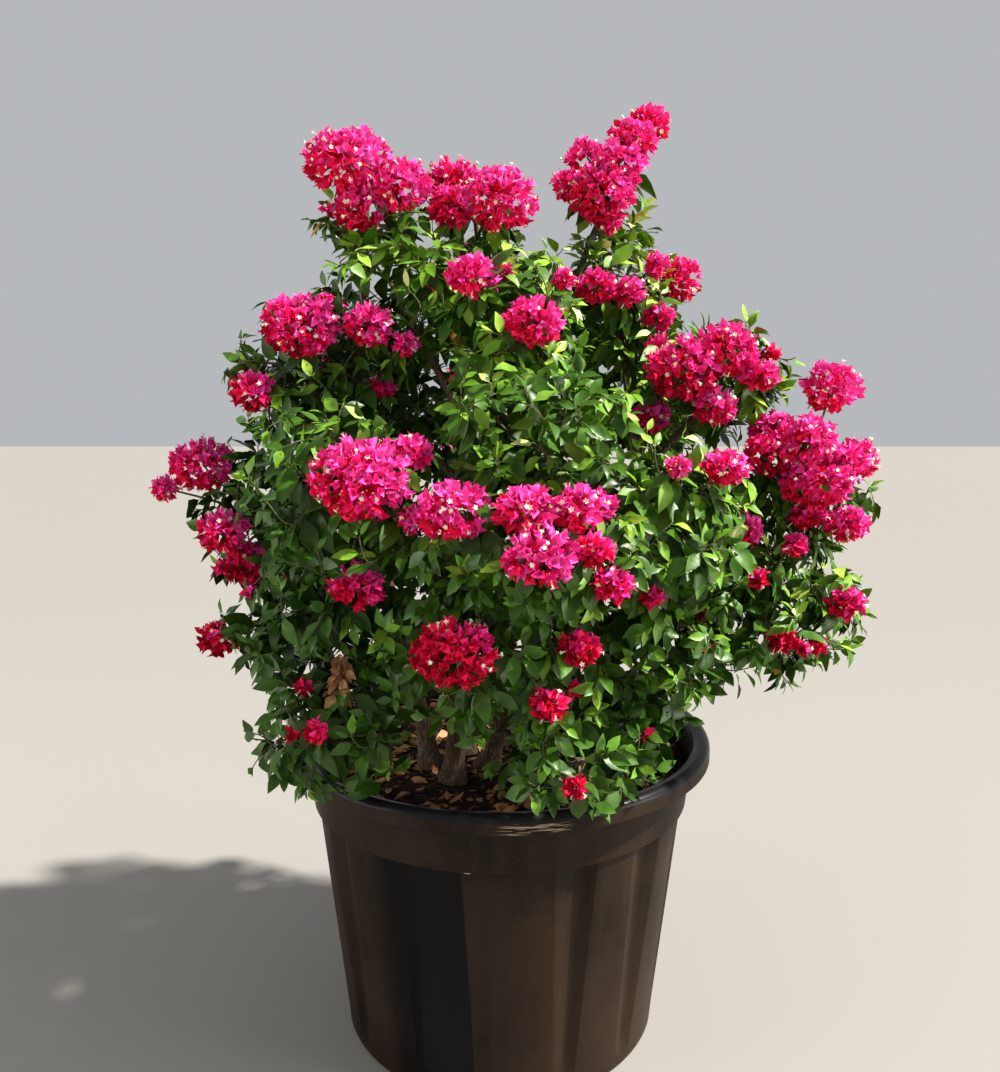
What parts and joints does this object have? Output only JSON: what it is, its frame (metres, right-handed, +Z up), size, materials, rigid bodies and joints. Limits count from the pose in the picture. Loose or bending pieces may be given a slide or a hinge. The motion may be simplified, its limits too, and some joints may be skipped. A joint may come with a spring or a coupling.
{
  "type": "potted bougainvillea shrub",
  "caption": "A bougainvillea bush in full magenta flower, leafy and wide, in a round black plastic nursery tub with a fluted side and a heavy rolled rim",
  "frame": {"origin": "The centre of the tub's flat underside, which stands on the ground.", "axes": "+Z is up, out of the tub's mouth. The bush is seen in the picture from -Y, so +X is its right-hand side there."},
  "size_m": [1.31, 1.0567, 1.7237],
  "materials": {
    "plastic": "dusty black",
    "soil": "damp compost",
    "bark": "tan bark",
    "foliage": "glossy green leaf",
    "blossom": "papery magenta bract"
  },
  "bodies": {
    "root": {"tub": "plastic", "soil": "soil", "stem_front": "bark", "stem_back": "bark", "stem_left": "bark", "stem_right": "bark", "bough_top_left": "bark", "bough_top_middle": "bark", "bough_spike": "bark", "bough_upper_left": "bark", "bough_upper_right": "bark", "bough_right_blossom": "bark", "bough_left_outer": "bark", "bough_front_middle": "bark", "bough_front_left": "bark", "bough_front_blossom": "bark", "bough_front_right": "bark", "bough_low_front": "bark", "bough_low_left": "bark", "bough_low_right": "bark", "bough_foot_left": "bark", "bough_foot_right": "bark", "bough_low_inner_right": "bark", "bough_foot_inner_right": "bark", "bough_back_left_upper": "bark", "bough_back_right_upper": "bark", "bough_back_middle": "bark", "bough_back_left_low": "bark", "bough_back_right_low": "bark", "bough_back_low": "bark", "blossom_top_left": "blossom", "blossom_top_middle": "blossom", "blossom_spike": "blossom", "foliage_upper_left": "foliage", "foliage_upper_middle": "foliage", "foliage_upper_right": "foliage", "foliage_upper_back": "foliage", "foliage_left_shoulder": "foliage", "foliage_right_shoulder": "foliage", "blossom_right": "blossom", "foliage_left_outer": "foliage", "foliage_front_middle": "foliage", "foliage_front_left": "foliage", "foliage_front_blossom": "foliage", "foliage_front_right": "foliage", "foliage_low_front": "foliage", "foliage_low_left": "foliage", "foliage_low_right": "foliage", "foliage_foot_left": "foliage", "foliage_foot_right": "foliage", "foliage_low_inner_right": "foliage", "foliage_foot_inner_right": "foliage", "foliage_back_left_upper": "foliage", "foliage_back_right_upper": "foliage", "foliage_back_middle": "foliage", "foliage_back_left_low": "foliage", "foliage_back_right_low": "foliage", "foliage_back_low": "foliage"}
  },
  "joints": []
}
